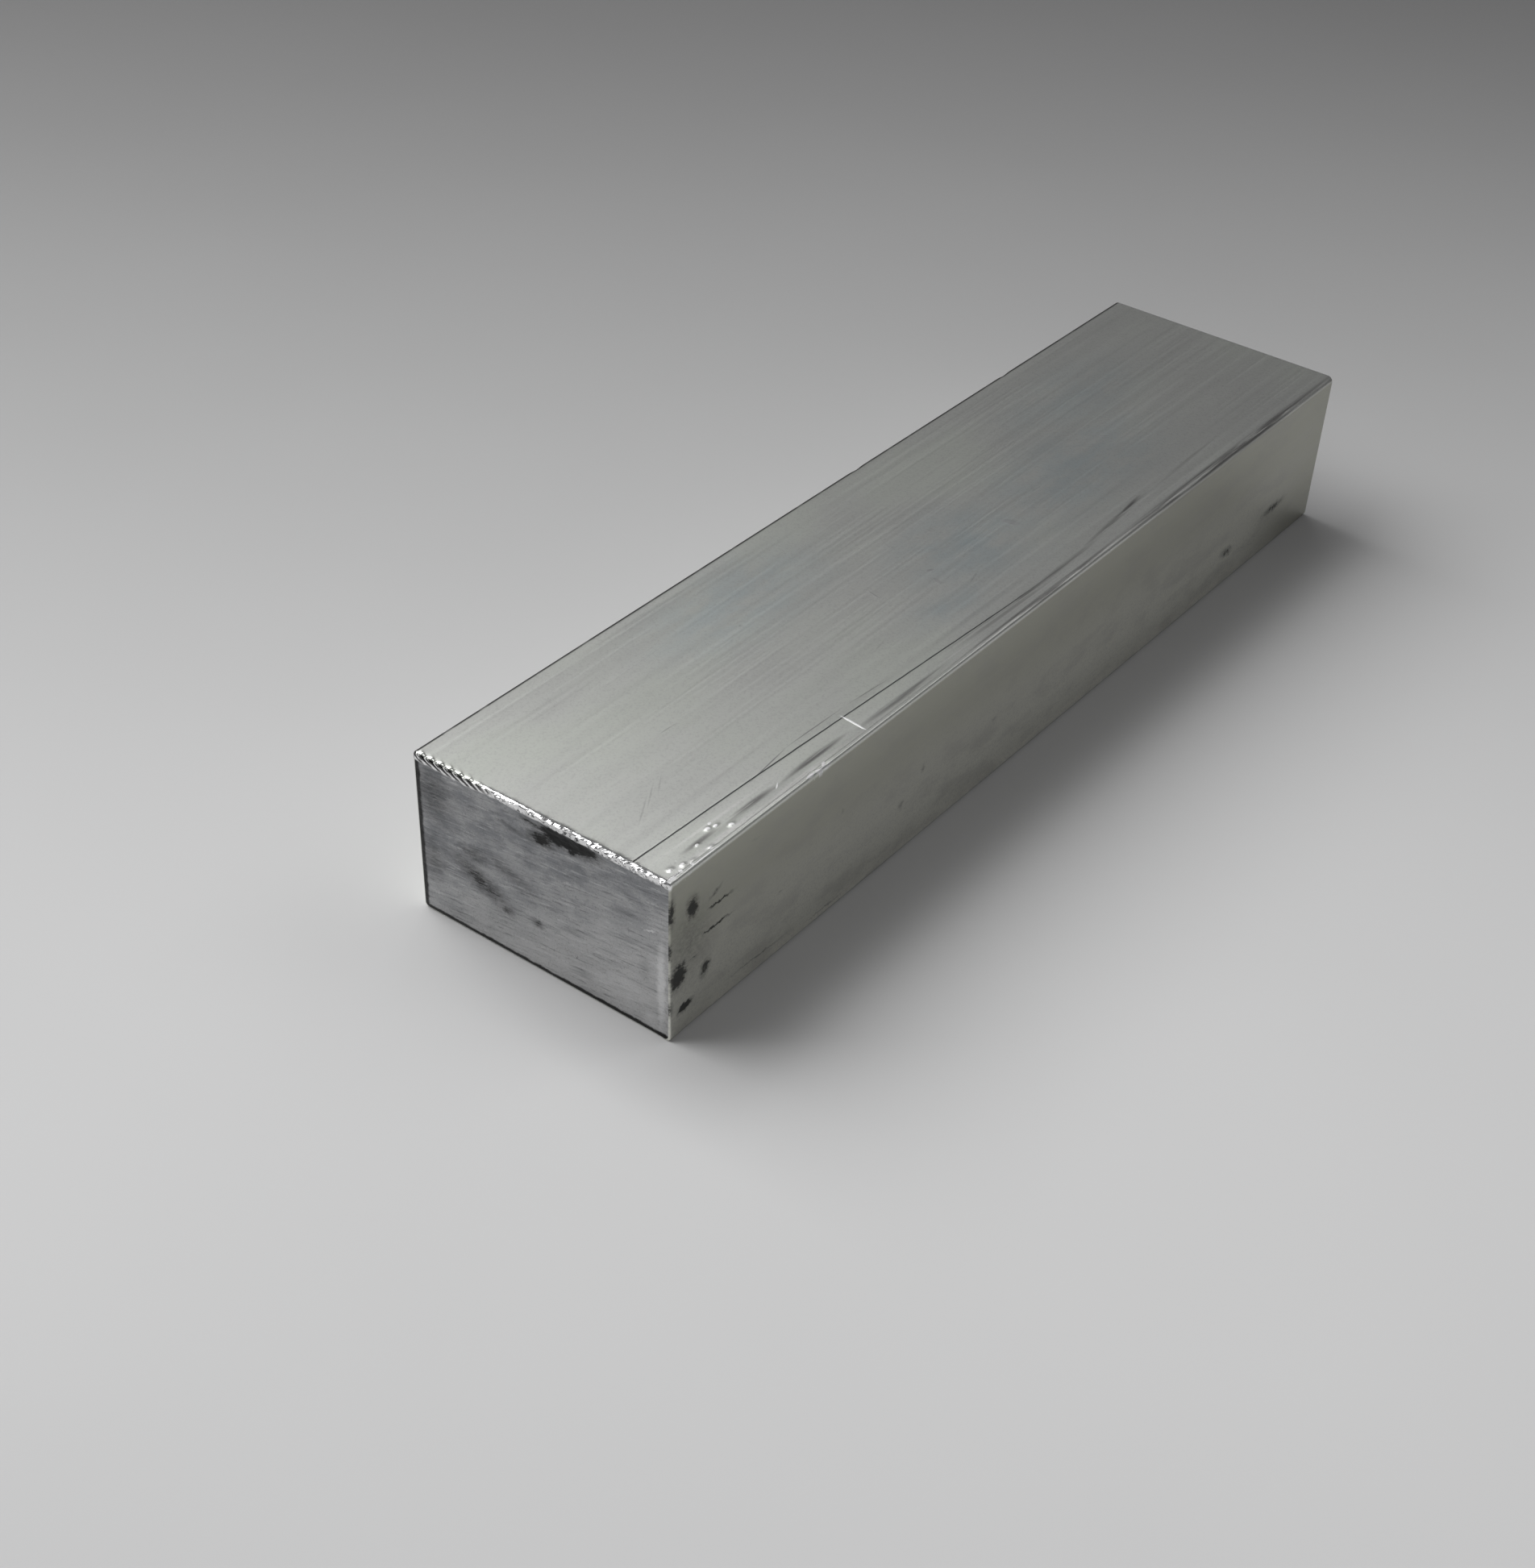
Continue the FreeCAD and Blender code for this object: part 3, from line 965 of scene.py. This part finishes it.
def scribe_curve(graph, along):
    """The scribed line's distance from the clean edge, at each place along."""
    found = None
    for (a0, c0), (a1, c1) in zip(SCRIBE_PATH, SCRIBE_PATH[1:]):
        run = graph.node("ShaderNodeMapRange", interpolation_type="LINEAR")
        for socket, v in zip(run.inputs, (along, a0, a1, 0.0, c1 - c0)):
            graph.put(socket, v)
        found = run.outputs[0] if found is None else graph.add(found, run.outputs[0])
    return graph.add(found, SCRIBE_PATH[0][1])


def burr_gap_painted_shade(graph, s, down, place):
    """Painted shade in the gaps between the burr's teeth and crumbs."""
    slanted = graph.sub(s, graph.mul(down, BURR_SLANT))
    phase = graph.math("FRACT", graph.mul(slanted, 1 / BURR_PITCH))
    gap = graph.mul(graph.ramp(phase, 0.42, 0.58), graph.ramp(phase, 1.0, 0.92))
    gap = graph.mul(gap, graph.ramp(s, TEETH_UNTIL + 1, TEETH_UNTIL - 1.5))
    crumb_painted_shade = graph.ramp(graph.noise(place, 2.6, 2, 0.6, (1, 1, 1), (6, 1, 3)), 0.46, 0.38)
    crumb_painted_shade = graph.mul(crumb_painted_shade, graph.ramp(down, 0.12, 0.30))
    return graph.most(gap, graph.mul(crumb_painted_shade, graph.ramp(s, TEETH_UNTIL - 1.5, TEETH_UNTIL + 1)))


def sawn_finish():
    """The sawn ends: rougher, with fine saw lines, smears under the burr and a clean burr, painted
    dark reflection towards the near face's clean side, painted light towards the bottom, a painted
    highlight down the near face's rubbed-side edge, and painted shade along the edges and in the
    burr's gaps.
    """
    g = Graph("sawn_finish")
    place, x, y, z = surface_places(g)
    s = g.sub(HALF, y)
    down = g.sub(THICKNESS, z)
    plane = g.stirred(g.plane(s, down), 1.3, 0.4)
    is_near = g.ramp(x, 1.0, -1.0)

    tilted = g.add(down, g.mul(s, 0.13))
    lean_plane = g.plane(s, tilted)
    saw_fine = g.noise(lean_plane, 1.0, 4, 0.7, (0.40, 4.2, 1))
    saw_broad = g.noise(lean_plane, 1.0, 4, 0.65, (0.16, 1.1, 1), (3, 1, 0))
    smear = g.noise(plane, 0.32, 5, 0.75, (0.8, 1.5, 1), (9, 2, 0))
    ragged = g.noise(lean_plane, 2.2, 5, 0.8, (0.45, 2.0, 1), (2, 7, 0))
    speckle = g.noise(place, 6.0, 3, 0.7)

    # Smears, and painted dark reflection towards the clean side, on the near face only.
    dark = g.mul(smudges(g, plane, END_SMEARS_AND_PAINTED_REFLECTION, ragged, 0.68), is_near)
    light = g.mul(all_marks(g, plane, END_SCRATCH_AND_PAINTED_HIGHLIGHTS, g.ramp(ragged, 0.2, 0.55), 0.25), is_near)
    nibble = g.mul(g.sub(g.noise(place, 1.4, 3, 0.6), 0.5), 0.35)
    hang = g.ramp(s, TEETH_UNTIL + 0.5, TEETH_UNTIL - 3.0, 0.0, 0.22)
    burr = g.mul(g.ramp(g.sub(g.add(down, nibble), hang), 0.72, 0.50), is_near)
    dark = g.mul(dark, g.ramp(down, 0.45, 0.75))
    # Painted shade: a dark line along the sawn faces' rounded clean-side and bottom edges, kept
    # off the burr.
    edge_painted_shade = g.most(
        g.ramp(g.add(s, nibble), 0.72, 0.46),
        g.ramp(g.sub(down, nibble), THICKNESS - 0.62, THICKNESS - 0.42),
    )
    edge_painted_shade = g.mul(edge_painted_shade, g.sub(1.0, burr))

    # Painted light: the sawn faces are painted lighter towards the bottom and towards the rubbed
    # edge.
    painted_light_low = g.ramp(g.add(down, g.mul(g.sub(s, HALF), 0.42)), 4.0, 15.0)
    colour = g.mixed(g.ramp(smear, 0.38, 0.62), grey(0.37, -0.01), grey(0.26, -0.03))
    colour = g.mixed(g.mul(painted_light_low, 0.85), colour, grey(0.56, 0.0))
    colour = g.mixed(g.ramp(saw_broad, 0.50, 0.68, 0.0, 0.32), colour, grey(0.18, -0.03))
    colour = g.mixed(g.ramp(saw_fine, 0.54, 0.68, 0.0, 0.55), colour, grey(0.12, -0.02))
    colour = g.mixed(g.ramp(saw_fine, 0.45, 0.33, 0.0, 0.35), colour, grey(0.75))
    colour = g.mixed(g.ramp(speckle, 0.54, 0.66, 0.0, 0.35), colour, grey(0.12))
    # A scratch and light patches, with the painted highlight down the rubbed-side edge.
    colour = g.mixed(g.mul(light, 0.8), colour, grey(0.82))
    # Smears and painted dark reflection.
    colour = g.mixed(dark, colour, grey(0.03))
    # Painted shade along the edges.
    colour = g.mixed(edge_painted_shade, colour, grey(0.03))
    colour = g.mixed(burr, colour, grey(0.95))
    # Painted shade in the burr's gaps.
    colour = g.mixed(g.mul(burr_gap_painted_shade(g, s, down, place), burr), colour, grey(0.10))

    roughness = g.ramp(smear, 0.35, 0.65, 0.36, 0.46)
    roughness = g.add(roughness, g.mul(g.sub(saw_fine, 0.5), 0.2))
    roughness = g.sub(roughness, g.mul(burr, 0.18))
    height = g.add(g.mul(saw_fine, 1.0), g.mul(saw_broad, 1.2))
    height = g.add(height, g.mul(speckle, 0.15))
    return finish_material(g, colour, 1.0, roughness, height, 0.03)


# --- floor, lights and camera -----------------------------------------------------------------
# Painted light falloff: the paper is painted palest in front and smoothly darker away from the
# camera's side.
FLOOR_PALE, FLOOR_PAINTED_FALLOFF_DARKEST = 0.635, 0.11
FLOOR_PAINTED_FALLOFF_START, FLOOR_PAINTED_FALLOFF_SCALE = -80.0, 156.0
FLOOR_AWAY_X, FLOOR_AWAY_Y = 0.81, 0.585
# Painted shade also makes it a little darker on the clean side than on the rubbed side.
FLOOR_PAINTED_LIGHT_SPREAD = 150.0
FLOOR_CLEAN_SIDE_PAINTED_SHADE, FLOOR_RUBBED_SIDE_PAINTED_LIGHT = 0.90, 1.16
FLOOR_REACH_M = 3.0
ROOM_LIGHT = (0.118, 0.118, 0.121, 1)
CAMERA_PLACE = (-156.73, -96.30, 126.64)
CAMERA_AIM = (-29.68, -4.62, 7.94)
CAMERA_ROLL = 2.95
LENS = 55.13


def make_camera():
    data = bpy.data.cameras.new("camera")
    data.lens = LENS
    data.sensor_width = 36.0
    data.clip_start = 0.01
    data.clip_end = 20.0
    camera = bpy.data.objects.new("camera", data)
    bpy.context.collection.objects.link(camera)
    place = Vector(CAMERA_PLACE) * MM
    ahead = (Vector(CAMERA_AIM) * MM - place).normalized()
    right = ahead.cross(Vector((0, 0, 1))).normalized()
    up = right.cross(ahead)
    roll = math.radians(CAMERA_ROLL)
    cosine, sine = math.cos(roll), math.sin(roll)
    right, up = right * cosine + up * sine, up * cosine - right * sine
    turn = Matrix((right, up, -ahead)).transposed().to_4x4()
    camera.matrix_world = Matrix.Translation(place) @ turn
    bpy.context.scene.camera = camera


def make_floor():
    side = FLOOR_REACH_M
    data = bpy.data.meshes.new("floor")
    corners = [(-side, -side, 0), (side, -side, 0), (side, side, 0), (-side, side, 0)]
    data.from_pydata(corners, [], [(0, 1, 2, 3)])
    floor = bpy.data.objects.new("floor", data)
    bpy.context.collection.objects.link(floor)
    g = Graph("paper_with_painted_falloff")
    place, x, y, _ = surface_places(g)
    shader = g.node("ShaderNodeBsdfPrincipled")
    mottle = g.noise(place, 0.012, 3, 0.5)
    away = g.add(g.mul(x, FLOOR_AWAY_X), g.mul(y, FLOOR_AWAY_Y))
    aside = g.sub(g.mul(x, FLOOR_AWAY_Y), g.mul(y, FLOOR_AWAY_X))
    # Painted light falloff away from the camera's side, and painted side light across it.
    past = g.mul(g.math("MAXIMUM", g.sub(away, FLOOR_PAINTED_FALLOFF_START), 0.0), 1 / FLOOR_PAINTED_FALLOFF_SCALE)
    painted_falloff_tone = g.math("DIVIDE", FLOOR_PALE, g.add(1.0, g.mul(past, past)))
    painted_falloff_tone = g.math("MAXIMUM", painted_falloff_tone, FLOOR_PAINTED_FALLOFF_DARKEST)
    painted_side_light = g.ramp(aside, -FLOOR_PAINTED_LIGHT_SPREAD, FLOOR_PAINTED_LIGHT_SPREAD, FLOOR_CLEAN_SIDE_PAINTED_SHADE, FLOOR_RUBBED_SIDE_PAINTED_LIGHT)
    painted_falloff_tone = g.mul(painted_falloff_tone, painted_side_light)
    painted_falloff_tone = g.mul(painted_falloff_tone, g.ramp(mottle, 0.3, 0.7, 0.985, 1.015))
    paper = g.node("ShaderNodeCombineColor")
    for socket in paper.inputs:
        g.put(socket, painted_falloff_tone)
    g.put(shader.inputs["Base Color"], paper.outputs[0])
    shader.inputs["Roughness"].default_value = 0.9
    shader.inputs["Specular IOR Level"].default_value = 0.2
    output = g.node("ShaderNodeOutputMaterial")
    g.put(output.inputs["Surface"], shader.outputs[0])
    data.materials.append(g.material)


def soft_lamp(name, place, size, power):
    """A rectangular lamp aimed at the bar's origin."""
    data = bpy.data.lights.new(name, "AREA")
    data.shape = "RECTANGLE"
    data.size, data.size_y = size
    data.energy = power
    lamp = bpy.data.objects.new(name, data)
    bpy.context.collection.objects.link(lamp)
    lamp.location = Vector(place)
    lamp.rotation_euler = (-Vector(place)).to_track_quat("-Z", "Y").to_euler()


def make_lights():
    soft_lamp("key", (-0.115, 0.355, 0.425), (0.52, 0.42), 3.4)
    soft_lamp("sheen", (0.14, 0.18, 0.53), (0.25, 0.25), 0.48)
    soft_lamp("side", (0.31, -0.27, 0.44), (0.26, 0.26), 0.30)
    world = bpy.data.worlds.new("room")
    world.use_nodes = True
    world.node_tree.nodes["Background"].inputs["Color"].default_value = ROOM_LIGHT
    world.node_tree.nodes["Background"].inputs["Strength"].default_value = 1.0
    bpy.context.scene.world = world


make_camera()
make_floor()
make_lights()
bar = make_bar([mill_finish(), sawn_finish()])
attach(bar, "root")
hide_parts("flat_bar")

bpy.context.scene.view_settings.view_transform = "Standard"
